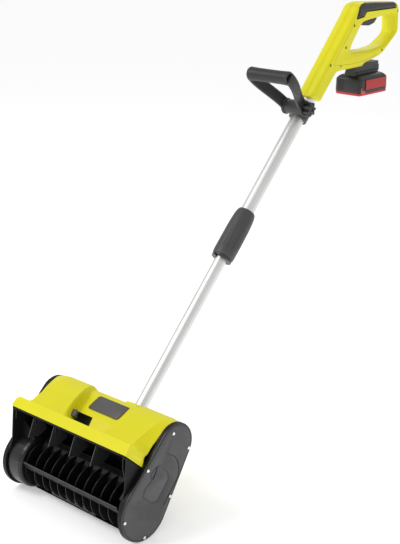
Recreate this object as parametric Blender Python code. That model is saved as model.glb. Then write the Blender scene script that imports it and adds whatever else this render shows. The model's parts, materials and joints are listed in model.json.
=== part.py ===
# Cordless snow blower: powered rotor head on a telescopic pole with a battery rear handle.
# Metres, +Z up. The snow is thrown towards -Y, the pole rises towards +Y, +X is the belt side.
# Origin: centre of the scraper blade's flat underside, on the ground.
import bpy
import bmesh
import math
from mathutils import Matrix, Vector

for old in list(bpy.data.objects):
    bpy.data.objects.remove(old, do_unlink=True)

MM = 0.001
GAP = 0.3                      # clearance between touching pieces, mm

# ---- driving dimensions, mm ------------------------------------------------
Y_SHIFT = 55.0                 # puts the scraper's underside at the origin
HEAD_HALF = 187.0              # half of the head's overall width
ROTOR_Y, ROTOR_Z = -70.0, 65.0 # rotor axis
PULLEY_Y, PULLEY_Z = 22.0, 178.0   # motor axis
END_R_LOW, END_R_TOP = 65.0, 48.0  # the end plates' two radii
ROTOR_R = 58.0                 # blade tip radius
SHAFT_R = 5.0
POLE_DEG = 46.58               # pole's rise above the horizontal
POLE_Y, POLE_Z = 125.0, 199.0  # the pole axis passes through this point (t = 0)
TUBE_LOW_R, TUBE_HIGH_R, TUBE_WALL = 14.0, 16.0, 1.4
SLEEVE_LOW, SLEEVE_HIGH = 352.0, 480.0
CLAMP_T = 755.0                # where the grip's clamp sits along the pole
VANE_X = (-131.0, -66.0, -1.0, 64.0)
VANE_Y = -82.0
CRANK = 8.0                    # pin offset of each vane and of the lever
LEVER_X = -44.0
STEER = 28.0                   # the lever stands this far to the left at rest, the vanes the other way round

C, S = math.cos(math.radians(POLE_DEG)), math.sin(math.radians(POLE_DEG))

# ---- materials -------------------------------------------------------------
def material(name, colour, rough, metal=0.0):
    m = bpy.data.materials.new(name)
    m.use_nodes = True
    b = m.node_tree.nodes["Principled BSDF"]
    b.inputs["Base Color"].default_value = (*colour, 1)
    b.inputs["Roughness"].default_value = rough
    b.inputs["Metallic"].default_value = metal
    m.diffuse_color = (*colour, 1)
    return m

YELLOW = material("yellow_shell", (0.74, 0.70, 0.03), 0.38)
BLACK = material("black_plastic", (0.012, 0.012, 0.013), 0.42)
GREY = material("dark_grey_plastic", (0.085, 0.08, 0.085), 0.5)
TUBE = material("tube_aluminium", (0.80, 0.80, 0.79), 0.28, 1.0)
STEEL = material("steel", (0.72, 0.72, 0.73), 0.3, 1.0)
ZINC = material("screw_steel", (0.80, 0.80, 0.80), 0.25, 1.0)
RUBBER = material("rubber", (0.02, 0.02, 0.02), 0.7)
CASE = material("battery_black", (0.02, 0.02, 0.022), 0.4)
RED = material("battery_red", (0.55, 0.02, 0.02), 0.35)
LABEL = material("label_grey", (0.5, 0.08, 0.08), 0.4)
COPPER = material("motor_can", (0.30, 0.30, 0.31), 0.4, 1.0)

# ---- helpers ---------------------------------------------------------------
def shift(p):
    return Vector((p[0] * MM, (p[1] + Y_SHIFT) * MM, p[2] * MM))

def pole(t, up=0.0, x=0.0):
    """Point at distance t along the pole axis and up above it, mm."""
    return (x, POLE_Y + t * C - up * S, POLE_Z + t * S + up * C)

def add(name, verts, faces, mat, origin=(0.0, -Y_SHIFT, 0.0), smooth=False, cutter=False):
    """An object from points in mm, its origin at a given point."""
    mesh = bpy.data.meshes.new(name)
    o = shift(origin)
    mesh.from_pydata([shift(v) - o for v in verts], [], faces)
    bm = bmesh.new()
    bm.from_mesh(mesh)
    bent = [f for f in bm.faces if len(f.verts) > 3 and
            max(abs((v.co - f.verts[0].co).dot(f.normal)) for v in f.verts) > 2e-7]
    bmesh.ops.triangulate(bm, faces=bent)
    bmesh.ops.recalc_face_normals(bm, faces=bm.faces)
    if bm.calc_volume(signed=True) < 0:
        bmesh.ops.reverse_faces(bm, faces=bm.faces)
    bm.to_mesh(mesh)
    bm.free()
    if smooth:
        mesh.shade_smooth()
        mesh.set_sharp_from_angle(angle=math.radians(35))
    mesh.materials.append(mat)
    obj = bpy.data.objects.new(name, mesh)
    bpy.context.scene.collection.objects.link(obj)
    obj.location = o
    if cutter:
        obj.hide_render = True
        obj.display_type = "WIRE"
    return obj

def loops(name, sections, mat, origin=(0.0, -Y_SHIFT, 0.0), smooth=False, cutter=False, ring=False):
    """A closed solid through loops of points; ring=True joins the last loop to the first."""
    n = len(sections[0])
    verts = [p for s in sections for p in s]
    faces = []
    count = len(sections)
    for i in range(count if ring else count - 1):
        a, b = i * n, ((i + 1) % count) * n
        for j in range(n):
            k = (j + 1) % n
            faces.append((a + j, a + k, b + k, b + j))
    if not ring:
        faces.append(tuple(range(n - 1, -1, -1)))
        faces.append(tuple((count - 1) * n + j for j in range(n)))
    return add(name, verts, faces, mat, origin, smooth, cutter)

def prism_x(name, outline, x0, x1, mat, **kw):
    """An outline of (y, z) points extruded along X."""
    return loops(name, [[(x, y, z) for y, z in outline] for x in (x0, x1)], mat, **kw)

def basis(axis):
    w = Vector(axis).normalized()
    u = Vector((1, 0, 0)) if abs(w.x) < 0.9 else Vector((0, 1, 0))
    u = (u - w * u.dot(w)).normalized()
    return u, w.cross(u), w

def turned(name, profile, base, axis, mat, seg=28, origin=None, cutter=False, squash=1.0):
    """A profile of (radius, height) turned about an axis through base.
    A profile whose ends have radius 0 is solid; any other one is a closed ring."""
    u, v, w = basis(axis)
    base = Vector(base)
    solid = profile[0][0] == 0 and profile[-1][0] == 0
    inner = profile[1:-1] if solid else profile
    verts, faces = [], []
    for r, h in inner:
        for k in range(seg):
            a = 2 * math.pi * k / seg
            verts.append(tuple(base + w * h + u * (r * math.cos(a)) + v * (r * squash * math.sin(a))))
    m = len(inner)
    for i in range(m - 1 if solid else m):
        a, b = i * seg, ((i + 1) % m) * seg
        for k in range(seg):
            q = (k + 1) % seg
            faces.append((a + k, a + q, b + q, b + k))
    if solid:
        faces.append(tuple(range(seg - 1, -1, -1)))
        faces.append(tuple((m - 1) * seg + k for k in range(seg)))
    return add(name, verts, faces, mat, tuple(base) if origin is None else origin, True, cutter)

def rod(name, base, axis, r, h0, h1, mat, seg=20, **kw):
    return turned(name, [(0, h0), (r, h0), (r, h1), (0, h1)], base, axis, mat, seg, **kw)

def pipe(name, base, axis, r_in, r_out, h0, h1, mat, seg=28, **kw):
    return turned(name, [(r_out, h0), (r_out, h1), (r_in, h1), (r_in, h0)], base, axis, mat, seg, **kw)

def block(name, x, y, z, mat, **kw):
    outline = [(y[0], z[0]), (y[1], z[0]), (y[1], z[1]), (y[0], z[1])]
    return prism_x(name, outline, x[0], x[1], mat, **kw)

def boolean(obj, other, operation):
    m = obj.modifiers.new(operation.lower(), "BOOLEAN")
    m.operation = operation
    m.solver = "EXACT"
    m.object = other
    other.hide_render = True
    other.display_type = "WIRE"
    return obj

def cut(obj, *others):
    for o in others:
        boolean(obj, o, "DIFFERENCE")
    return obj

def fuse(obj, *others):
    for o in others:
        boolean(obj, o, "UNION")
    return obj

def bevel(obj, width, segments=2, angle=40):
    m = obj.modifiers.new("bevel", "BEVEL")
    m.width = width * MM
    m.segments = segments
    m.limit_method = "ANGLE"
    m.angle_limit = math.radians(angle)
    return obj

def capsule(r_low, r_top, seg=16):
    """Outline round the rotor axis and the motor axis: two arcs and their tangents."""
    dy, dz = PULLEY_Y - ROTOR_Y, PULLEY_Z - ROTOR_Z
    d = math.hypot(dy, dz)
    a = math.atan2(dz, dy)
    b = math.acos((r_low - r_top) / d)
    out = []
    for k in range(seg + 1):                      # top arc, rear side to front side
        t = a - b + 2 * b * k / seg
        out.append((PULLEY_Y + r_top * math.cos(t), PULLEY_Z + r_top * math.sin(t)))
    low = seg + 6
    for k in range(low + 1):                      # bottom arc, front side to rear side
        t = a + b + (2 * math.pi - 2 * b) * k / low
        out.append((ROTOR_Y + r_low * math.cos(t), ROTOR_Z + r_low * math.sin(t)))
    return out

def arc(cy, cz, r, a0, a1, n):
    return [(cy + r * math.cos(math.radians(a0 + (a1 - a0) * k / n)),
             cz + r * math.sin(math.radians(a0 + (a1 - a0) * k / n))) for k in range(n + 1)]

def offset(points, d):
    """The open line of points moved sideways by d, to the right of its direction."""
    out = []
    for i, p in enumerate(points):
        a = points[max(i - 1, 0)]
        b = points[min(i + 1, len(points) - 1)]
        d1 = Vector((p[0] - a[0], p[1] - a[1]))
        d2 = Vector((b[0] - p[0], b[1] - p[1]))
        if d1.length < 1e-6:
            d1 = d2
        if d2.length < 1e-6:
            d2 = d1
        d1.normalize()
        d2.normalize()
        n1, n2 = Vector((d1.y, -d1.x)), Vector((d2.y, -d2.x))
        m = (n1 + n2).normalized()
        out.append((p[0] + m.x * d / max(0.5, m.dot(n1)), p[1] + m.y * d / max(0.5, m.dot(n1))))
    return out

def lerp(a, b, f):
    return [(p[0] + (q[0] - p[0]) * f, p[1] + (q[1] - p[1]) * f) for p, q in zip(a, b)]

# ---- hood: yellow shell with a raised front lip, two humps and a central recess ----
HUMP = [(-107, 198), (-92, 217), (-84, 204), (-70, 205), (-55, 211), (-39, 216), (-23, 221),
        (-8, 225), (8, 227.5), (24, 228), (40, 224.5), (54, 214), (63.5, 199), (67, 180), (60, 152), (45, 122)]
END = [(-67, 160), (-58, 183), (-55, 180), (-50, 184), (-44, 190), (-37, 196), (-23, 205),
       (-9, 213.5), (6, 220.5), (22, 225), (38, 222.5), (52, 213.5), (62, 199), (66.5, 180), (60, 152), (45, 122)]
RECESS = [(-107, 198), (-92, 217), (-84, 204), (-72, 200), (-60, 194), (-48, 184), (-37.5, 178),
          (-22, 193), (-10, 199), (10, 207), (29, 215), (46, 213), (60, 199), (66, 180), (60, 152), (45, 122)]
NEAR = HUMP[:2] + [(-85, 203)] + lerp(HUMP, END, 0.8)[3:]
STATIONS = [(-175.3, END), (-171.5, NEAR), (-156, HUMP), (-128, HUMP), (-98, HUMP), (-76, RECESS), (-38, RECESS), (0, RECESS),
            (38, RECESS), (66, RECESS), (84, HUMP), (120, HUMP), (156, HUMP), (171.0, NEAR), (174.9, END)]
hood_rings = []
for x, line in STATIONS:
    inner = offset(line, 2.8)
    hood_rings.append([(x, y, z) for y, z in line] + [(x, y, z) for y, z in reversed(inner)])
hood = loops("hood_cover", hood_rings, YELLOW, smooth=True)
cut(hood,
    rod("cut_pole", pole(-60), (0, C, S), 21.6, -60, 80, YELLOW, seg=28, cutter=True),
    loops("cut_lever_slot", [[(x, -44, 178), (x, -32, 171), (x, -14, 194), (x, -26, 201)] for x in (-70, -16)],
          YELLOW, cutter=True))

plate_top = [(-8.5, 200.2), (10, 207.4 + 0.5), (27.5, 214.9 + 0.3)]
plate_sections = []
for x in (-45, -41, 41, 45):
    k = 4 if abs(x) > 43 else 0
    lo = (-8.5 + k, 200.3 + k * 0.42)
    hi = (27.5 - k, 215.1 - k * 0.42)
    plate_sections.append([(x, lo[0], lo[1]), (x, hi[0], hi[1]), (x, hi[0] - 0.8, hi[1] + 1.9), (x, lo[0] - 0.8, lo[1] + 1.9)])
loops("hood_insert_plate", plate_sections, GREY)

# ---- scoop: curved deflector wall with its side walls, black -----------------------
WALL = [(-104.5, 194.5), (-90, 187.5), (-75, 179), (-60, 168.5), (-48, 157.5), (-37, 145), (-27, 131),
        (-18, 116), (-10, 99), (-5.5, 84)] + arc(ROTOR_Y, ROTOR_Z, 65.0, 5, -47, 6)
WALL_IN = offset(WALL, 2.6)
scoop = prism_x("scoop_housing", WALL + list(reversed(WALL_IN)), -168.0, 164.6, BLACK, smooth=True)
CHEEK = [(-106.5, 193.5), (-113.5, 122), (-121, 102.5), (-115.5, 100.5), (-62.5, 151.5), (-66.5, 156.5)]
LEFT_SIDE = [(-106.5, 193.5), (-113.5, 122), (-121, 102.5), (-125, 92), (-60, 90), (-12, 98), (-18.5, 115), (-27.5, 130),
             (-37.5, 144), (-48.5, 156.5), (-66.5, 156.5)]
LEFT_TOP = [(-104.8, 193.4), (-107, 170), (-70, 148), (-48.5, 156.5), (-60.5, 167.5), (-75.5, 178), (-90.3, 186.5)]
RIGHT_SIDE = [(-104.8, 193.4), (-107, 170), (-99, 120), (-104, 95), (-60, 110), (-12, 98), (-18.5, 115), (-27.5, 130),
              (-37.5, 144), (-48.5, 156.5), (-60.5, 167.5), (-75.5, 178), (-90.3, 186.5)]
fuse(scoop,
     prism_x("join_left_wall", LEFT_SIDE, -175.9, -173.2, BLACK, cutter=True),
     prism_x("join_left_top", LEFT_TOP, -167.8, -165.4, BLACK, cutter=True),
     prism_x("join_left_step", [(-106, 192.4), (-66.2, 155.9), (-48.9, 155.9), (-48.4, 153.6), (-67.2, 153.6), (-106.6, 189.8)],
             -174.0, -166.6, BLACK, cutter=True),
     prism_x("join_left_curve", offset(WALL, 0.3)[4:-1] + list(reversed(offset(WALL, 2.2)[4:-1])), -174.5, -166.9, BLACK, cutter=True),
     prism_x("join_right_wall", RIGHT_SIDE, 161.4, 164.4, BLACK, cutter=True),
     prism_x("join_right_cheek", CHEEK, 172.0, 174.6, BLACK, cutter=True),
     prism_x("join_right_top", [(-106, 192.4), (-66.2, 155.9), (-67.2, 153.6), (-106.6, 189.8)], 162.6, 173.2, BLACK, cutter=True),
     prism_x("join_right_step", [(-117.9, 103.8), (-115.6, 101.6), (-64.4, 151.4), (-66.7, 153.6)], 162.6, 173.3, BLACK, cutter=True),
     # rear wall between the hood and the bottom of the curve
     prism_x("join_rear_wall", [(42.6, 118.4), (-14.5, 28.5), (-18.5, 29.5), (-13.5, 36.5), (40.0, 119.4)], -174.8, 164.2, BLACK, cutter=True),
     # shoulder over the left drum: a sloping inner wall
     loops("join_shoulder", [[(x, -88, 112), (x, -31, 112), (x, -36, min(h, 138)), (x, -49, min(h, 150)), (x, -66, min(h, 158)), (x, -88 + (h - 112) * 0.13, h)]
                             for x, h in ((-174.3, 166.0), (-133.2, 127.0))], BLACK, cutter=True))
cut(scoop,
    rod("cut_drum_room", (0, ROTOR_Y, ROTOR_Z), (1, 0, 0), 59.6, -172.9, -120.0, BLACK, seg=40, cutter=True),
    rod("cut_shaft_hole", (0, ROTOR_Y, ROTOR_Z), (1, 0, 0), 12.0, -190.0, 190.0, BLACK, seg=20, cutter=True))
cut(scoop, *[rod("cut_vane_pin_%d" % i, (x, VANE_Y, 150), (0, 0, 1), 3.1, 22, 60, BLACK, seg=12, cutter=True)
             for i, x in enumerate(VANE_X)])

# scraper blade: thin steel strip whose flat underside is the rest face
blade = [(-62, 0.0), (-48, 0.0), (-24, 13.4), (-25.4, 15.4), (-48.6, 2.6), (-62, 1.2)]
prism_x("scraper_blade", blade, -130.0, 164.0, STEEL)

# ---- right end: belt housing, cover, screws ---------------------------------------
CUP0, CUP1 = 165.0, 183.0
def end_outline(d):
    return capsule(END_R_LOW - d, END_R_TOP - d)
cup = loops("right_end_housing", [[(x, y, z) for y, z in end_outline(d)] for x, d in
                                  ((CUP0, 8.8), (175.3, 8.8), (175.3, 0.0), (CUP1, 0.0))], BLACK, smooth=True)
cut(cup, prism_x("cut_cup", end_outline(11.2), CUP0 + 3.0, CUP1 + 5, BLACK, cutter=True))
SCREWS = [(13.0, 208.5), (57.0, 160.5), (-61.0, 153.5), (1.0, 72.0), (-127.5, 64.0), (-74.0, 8.5)]
for i, (y, z) in enumerate(SCREWS):
    start = CUP0 + 1.5 if i == 0 else 175.6
    fuse(cup, rod("join_boss_%d" % i, (0, y, z), (1, 0, 0), 4.6, start, CUP1 - 1.0, BLACK, seg=12, cutter=True))
cut(cup, *[rod("cut_boss_%d" % i, (0, y, z), (1, 0, 0), 1.9, 174.0, 190.0, BLACK, seg=10, cutter=True)
           for i, (y, z) in enumerate(SCREWS)])
cut(cup,
    rod("cut_right_bearing", (CUP0 - 4, ROTOR_Y, ROTOR_Z), (1, 0, 0), 11.3, 0, 10, BLACK, seg=24, cutter=True),
    rod("cut_motor_nose", (CUP0 - 4, PULLEY_Y, PULLEY_Z - 4), (1, 0, 0), 8.5, 0, 10, BLACK, seg=20, cutter=True))

cover = prism_x("right_belt_cover", capsule(END_R_LOW - 0.6, END_R_TOP - 0.6), CUP1 + GAP, HEAD_HALF, GREY, smooth=True)
pocket = [(-38, 128), (-22, 145), (-8, 150), (2, 143), (0, 128), (-14, 106), (-34, 82), (-48, 88), (-50, 106)]
groove = [(20, 158), (27, 150), (27, 138), (-4, 88), (-9, 92), (18, 136), (20, 150)]
cut(cover, prism_x("cut_pocket", pocket, HEAD_HALF - 1.4, HEAD_HALF + 4, GREY, cutter=True),
    prism_x("cut_groove", groove, HEAD_HALF - 2.2, HEAD_HALF + 4, GREY, cutter=True))
cut(cover, *[rod("cut_screw_%d" % i, (HEAD_HALF - 6, y, z), (1, 0, 0), 2.1, 0, 12, GREY, seg=12, cutter=True)
             for i, (y, z) in enumerate(SCREWS)])
for i, (y, z) in enumerate(SCREWS):
    turned("cover_screw_%d" % (i + 1), [(0, -11.0), (1.5, -11.0), (1.5, 0.3), (3.6, 0.3), (3.6, 1.4), (2.6, 2.3), (0, 2.3)],
           (HEAD_HALF, y, z), (1, 0, 0), ZINC, seg=14)

# ---- left end: drum, end wall, outer plate ------------------------------------------
turned("left_drum_housing", [(6.2, -172.6), (59.0, -172.6), (59.3, -141.0), (57.5, -135.5), (54.0, -133.5), (47.0, -133.5), (46.0, -136.0), (11.3, -136.0), (11.3, -142.5), (6.2, -142.5)],
       (0, ROTOR_Y, ROTOR_Z), (1, 0, 0), BLACK, seg=40, origin=(-150, ROTOR_Y, ROTOR_Z))
prism_x("left_end_housing", capsule(END_R_LOW - 1.0, END_R_TOP - 2.0), -183.0, -176.6, BLACK, smooth=True)
prism_x("left_side_plate", capsule(END_R_LOW - 1.6, END_R_TOP - 2.6), -HEAD_HALF, -183.3, BLACK, smooth=True)

# ---- rotor --------------------------------------------------------------------------
R0, R1 = -129.0, 160.5
RC = 0.5 * (R0 + R1)
TIP_R = 56.0
def blade_section(x, turn):
    """Closed (y, z) outline of one curved blade at station x, 34 degrees behind turn at its tip."""
    outer, inner = [], []
    for k in range(7):
        f = k / 6
        r = 12.0 + (TIP_R - 12.0) * f
        a = math.radians(turn - 34.0 * f * f)
        w = 1.6 / r
        outer.append((r, a + w))
        inner.append((r, a - w))
    ring = outer + list(reversed(inner))
    return [(x, ROTOR_Y + r * math.cos(a), ROTOR_Z + r * math.sin(a)) for r, a in ring]
rotor = pipe("rotor_body", (0, ROTOR_Y, ROTOR_Z), (1, 0, 0), SHAFT_R + GAP, 15.0, R0, R1, BLACK, seg=20)
blades = [loops("join_blade_%d" % b, [blade_section(x, turn) for x in (R0 + 0.4, R1 - 0.4)], BLACK, cutter=True)
          for b, turn in enumerate((193.0, 283.0, 13.0, 103.0))]
ribs = [rod("join_rib_%d" % k, (0, ROTOR_Y, ROTOR_Z), (1, 0, 0), 49.0, x - 1.1, x + 1.1, BLACK, seg=32, cutter=True)
        for k, x in enumerate((-127.5, -98, -72, -48, -24, 2, 28, 54, 78, 104, 130, 159.0))]
# half-moon paddle on the lowest blade: straight lower edge, arched upper edge
EDGE = Vector((0, ROTOR_Y + 54.5 * math.cos(math.radians(250.0)), ROTOR_Z + 54.5 * math.sin(math.radians(250.0))))
RISE, FACE = Vector((0, -0.47, 0.8827)), Vector((0, -0.8827, -0.47))
moon = [(-75.0, 0.0)] + [(-6.0 - 69.0 * math.cos(math.pi * k / 12), 5.0 + 25.0 * math.sin(math.pi * k / 12)) for k in range(13)] + [(63.0, 0.0)]
paddle = loops("join_paddle", [[tuple(EDGE + RISE * h + FACE * d + Vector((x, 0, 0))) for x, h in moon] for d in (-1.5, 1.5)], BLACK, cutter=True)
# short raised bars along the upper blade
BAR = (ROTOR_Y + 31.0 * math.cos(math.radians(101.5)), ROTOR_Z + 31.0 * math.sin(math.radians(101.5)))
bars = [block("join_bar_%d" % k, (x, x + 33.0), (BAR[0] - 1.9, BAR[0] + 2.6), (BAR[1] - 1.6, BAR[1] + 1.6), BLACK, cutter=True)
        for k, x in enumerate((-92.0, -40.0, 12.0, 62.0, 114.0))]
fuse(rotor, *blades)
fuse(rotor, *ribs)
fuse(rotor, paddle, *bars)
cut(rotor, rod("cut_rotor_bore", (0, ROTOR_Y, ROTOR_Z), (1, 0, 0), SHAFT_R + GAP, R0 - 5, R1 + 5, BLACK, seg=20, cutter=True))
rod("rotor_shaft", (0, ROTOR_Y, ROTOR_Z), (1, 0, 0), SHAFT_R, -172.0, 180.5, STEEL, seg=20)
for name, x in (("left_bearing", -142.2), ("right_bearing", 163.4)):
    pipe(name, (0, ROTOR_Y, ROTOR_Z), (1, 0, 0), SHAFT_R + 0.05, 11.0, x, x + 7.0 if x < 0 else x + 6.0, STEEL, seg=24)
PULL0, PULL1 = 170.5, 180.5
turned("rotor_pulley", [(5.3, PULL0), (29.5, PULL0), (28.0, PULL0 + 1.5), (28.0, PULL1 - 1.5), (29.5, PULL1), (5.3, PULL1)],
       (0, ROTOR_Y, ROTOR_Z), (1, 0, 0), BLACK, seg=36)

# ---- drive --------------------------------------------------------------------------
turned("drive_motor", [(2.9, 84.0), (26.0, 84.0), (29.0, 88.0), (29.0, 156.0), (26.0, 160.0), (7.8, 160.0), (7.8, 166.5), (2.9, 166.5)],
       (0, PULLEY_Y, PULLEY_Z - 4), (1, 0, 0), COPPER, seg=28)
MOTOR_Z = PULLEY_Z - 4
rod("motor_shaft", (0, PULLEY_Y, MOTOR_Z), (1, 0, 0), 2.5, 78.0, 181.0, STEEL, seg=14)
turned("motor_pulley", [(2.8, PULL0), (10.5, PULL0), (9.0, PULL0 + 1.5), (9.0, PULL1 - 1.5), (10.5, PULL1), (2.8, PULL1)],
       (0, PULLEY_Y, MOTOR_Z), (1, 0, 0), STEEL, seg=20)
def belt_line(r_low, r_top):
    dy, dz = PULLEY_Y - ROTOR_Y, MOTOR_Z - ROTOR_Z
    d, a = math.hypot(dy, dz), math.atan2(dz, dy)
    b = math.acos((r_low - r_top) / d)
    out = [(PULLEY_Y + r_top * math.cos(a - b + 2 * b * k / 12), MOTOR_Z + r_top * math.sin(a - b + 2 * b * k / 12)) for k in range(13)]
    out += [(ROTOR_Y + r_low * math.cos(a + b + (2 * math.pi - 2 * b) * k / 22),
             ROTOR_Z + r_low * math.sin(a + b + (2 * math.pi - 2 * b) * k / 22)) for k in range(23)]
    return out
bo, bi = belt_line(30.6, 11.6), belt_line(28.45, 9.45)
belt_sections = [[(PULL0 + 2.2, o[0], o[1]), (PULL1 - 2.2, o[0], o[1]), (PULL1 - 2.2, i[0], i[1]), (PULL0 + 2.2, i[0], i[1])]
                 for o, i in zip(bo, bi)]
loops("drive_belt", belt_sections, RUBBER, ring=True, smooth=True)
bracket = block("motor_bracket", (90.0, 150.0), (-6.0, 50.0), (141.0, 145.0), BLACK)

# ---- steerable vanes, link bar and lever ----------------------------------------------
def turned_about(points, x, y, deg):
    a = math.radians(deg)
    return [(x + (px - x) * math.cos(a) - (py - y) * math.sin(a),
             y + (px - x) * math.sin(a) + (py - y) * math.cos(a), pz) for px, py, pz in points]
CRANK_Y = CRANK * math.cos(math.radians(STEER))
CRANK_X = CRANK * math.sin(math.radians(STEER))
LINK_Y = VANE_Y + CRANK_Y
LEVER_Y = LINK_Y + CRANK_Y
VANE_SIDE = [(1, 175.6), (-3, 175.2), (-17, 131.0), (4, 131.0), (24, 147.0), (23, 155.0), (12, 166.0)]
for i, x in enumerate(VANE_X):
    secs = [turned_about([(x + dx, VANE_Y + dy, z) for dy, z in VANE_SIDE], x, VANE_Y, -STEER) for dx in (-1.1, 1.1)]
    vane = loops("vane_%d" % (i + 1), secs, BLACK, origin=(x, VANE_Y, 170))
    plate = [(x - 3, VANE_Y - 3), (x + 3, VANE_Y - 3), (x + 2.4, VANE_Y + CRANK + 2), (x - 2.4, VANE_Y + CRANK + 2)]
    fuse(vane,
         rod("join_pin_%d" % i, (x, VANE_Y, 165), (0, 0, 1), 2.5, -4, 24.0, BLACK, seg=12, cutter=True),
         loops("join_crank_%d" % i, [turned_about([(px, py, z) for px, py in plate], x, VANE_Y, -STEER) for z in (187.2, 189.2)], BLACK, cutter=True),
         rod("join_crank_pin_%d" % i, (x + CRANK_X, LINK_Y, 185), (0, 0, 1), 1.4, 3.5, 8.4, BLACK, seg=10, cutter=True))
LINKED = [x + CRANK_X for x in VANE_X] + [LEVER_X + CRANK_X]
link = block("vane_link_bar", (LINKED[0] - 6, LINKED[3] + 6), (LINK_Y - 4.4, LINK_Y + 4.0), (189.7, 191.2), BLACK)
cut(link, *[rod("cut_link_%d" % i, (x, LINK_Y, 180), (0, 0, 1), 2.4, 0, 20, BLACK, seg=12, cutter=True)
            for i, x in enumerate(LINKED)])
ARM = [(-70, 187.0), (-70, 184.5), (-60, 177.0), (-46, 165.5), (-28, 160.5), (-17, 168.5), (-36, 193.0), (-40, 190.2),
       (-24.5, 170.2), (-29, 166.4), (-44, 171.2), (-58, 182.0), (-61, 187.0)]
KNOB = [(-38.5, 184.5), (-31.5, 190.0), (-38.5, 201.0), (-47.5, 193.5)]
plate = [(LEVER_X - 3, LEVER_Y + 3), (LEVER_X + 3, LEVER_Y + 3), (LEVER_X + 2.4, LEVER_Y - CRANK - 2), (LEVER_X - 2.4, LEVER_Y - CRANK - 2)]
lever = loops("deflector_lever", [turned_about([(LEVER_X + dx, y, z) for y, z in ARM], LEVER_X, LEVER_Y, STEER) for dx in (-3.0, 3.0)],
              GREY, origin=(LEVER_X, LEVER_Y, 184))
fuse(lever,
     loops("join_knob", [turned_about([(LEVER_X + dx, y, z) for y, z in KNOB], LEVER_X, LEVER_Y, STEER) for dx in (-8.5, 8.5)], GREY, cutter=True),
     rod("join_lever_pin", (LEVER_X, LEVER_Y, 165), (0, 0, 1), 2.8, 16.0, 24.0, BLACK, seg=12, cutter=True),
     loops("join_lever_crank", [turned_about([(px, py, z) for px, py in plate], LEVER_X, LEVER_Y, STEER) for z in (187.2, 189.2)], BLACK, cutter=True),
     rod("join_lever_crank_pin", (LEVER_X + CRANK_X, LINK_Y, 185), (0, 0, 1), 1.4, 3.5, 8.4, BLACK, seg=10, cutter=True))

# ---- pole -----------------------------------------------------------------------------
AX = (0, C, S)
socket = turned("pole_socket", [(14.35, -96.0), (30.0, -96.0), (33.5, -62.0), (36.5, -48.0), (36.5, -40.0), (33.5, -33.5), (20.0, -30.0), (14.35, -30.0)],
                pole(0), AX, YELLOW, seg=32)
cut(socket, prism_x("cut_socket_hood", [(0, 216), (29, 215.8), (46.4, 213.8), (60.6, 199.3), (66.8, 180), (60.8, 151.7), (45.8, 121.4), (30, 92), (0, 92)],
                    -60, 60, YELLOW, cutter=True),
    rod("cut_socket_block", pole(0), AX, 21.6, -110.0, -63.0, YELLOW, seg=28, cutter=True))
pipe("tube_socket_block", pole(0), AX, TUBE_LOW_R + GAP, 21.0, -100.0, -64.0, BLACK, seg=20)
pipe("lower_tube", pole(0), AX, TUBE_LOW_R - TUBE_WALL, TUBE_LOW_R, -90.0, 520.0, TUBE, seg=24)
lead_path = [(79, 30, 163), (74, 31, 158), (50, 33, 147), (24, 36, 136), (9, 42, 128), (1.5, 50, 124.5)] + [pole(t) for t in (-88, -72, 200, 520, 700)]
def swept(name, path, r, mat, seg=10, **kw):
    pts = [Vector(p) for p in path]
    side = None
    rings = []
    for i, p in enumerate(pts):
        d = (pts[min(i + 1, len(pts) - 1)] - pts[max(i - 1, 0)]).normalized()
        u = Vector((1, 0, 0)) if side is None and abs(d.x) < 0.8 else (Vector((0, 0, 1)) if side is None else side)
        u = (u - d * u.dot(d)).normalized()
        side = u
        v = d.cross(u)
        rings.append([tuple(p + u * (r * math.cos(2 * math.pi * k / seg)) + v * (r * math.sin(2 * math.pi * k / seg))) for k in range(seg)])
    return loops(name, rings, mat, smooth=True, **kw)
swept("power_lead", lead_path, 4.0, RUBBER, origin=pole(0))
pipe("upper_tube", pole(0), AX, TUBE_HIGH_R - TUBE_WALL, TUBE_HIGH_R, 402.0, 866.0, TUBE, seg=24)
turned("lock_sleeve", [(14.5, 358.0), (25.5, 358.0), (26.0, 364.0), (25.6, 440.0), (24.0, 466.0), (21.5, 476.0), (18.5, 480.0), (16.4, 480.0), (16.4, 400.0), (14.5, 396.0)],
       pole(0), AX, GREY, seg=32)
ring = pipe("sleeve_end_ring", pole(0), AX, 14.4, 24.4, 350.5, 357.7, GREY, seg=28)
cut(ring, loops("cut_ring", [[pole(t, u, x) for u, x in ((6, -6), (6, 6), (40, 6), (40, -6))] for t in (345, 354.0)], GREY, cutter=True))

# ---- grip clamp and tilting loop grip -----------------------------------------------------
HUB_UP = 26.0
hub = pole(CLAMP_T, HUB_UP)
clamp = pipe("grip_clamp", pole(CLAMP_T), AX, TUBE_HIGH_R + GAP, 22.5, -16.0, 16.0, GREY, seg=24)
fuse(clamp, rod("join_lug", hub, (1, 0, 0), 17.0, -22.9, 22.9, GREY, seg=22, cutter=True))
cut(clamp, rod("cut_clamp_tube", pole(CLAMP_T), AX, TUBE_HIGH_R + GAP, -60, 60, GREY, seg=24, cutter=True),
    rod("cut_clamp_bolt", hub, (1, 0, 0), 3.6, -40, 40, GREY, seg=14, cutter=True),
    block("cut_clamp_split", (-1.0, 1.0), (hub[1] + 14, hub[1] + 80), (hub[2] - 70, hub[2] + 5), GREY, cutter=True))
GRIP = (0.0, 527.5, 849.0)
frame_pts = []
def arm_line(side):
    """Centre line of one arm, from the grip's end to the hub."""
    p0 = Vector((side * 57.0, GRIP[1], GRIP[2]))
    p1 = Vector((side * 60.0, GRIP[1] + 34, GRIP[2] - 30))
    p2 = Vector((side * 25.0, hub[1] - 34, hub[2] + 30))
    p3 = Vector((side * 26.6, hub[1], hub[2]))
    out = []
    for k in range(9):
        f = k / 8
        out.append(p0 * (1 - f) ** 3 + p1 * 3 * f * (1 - f) ** 2 + p2 * 3 * f * f * (1 - f) + p3 * f ** 3)
    return out
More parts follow.
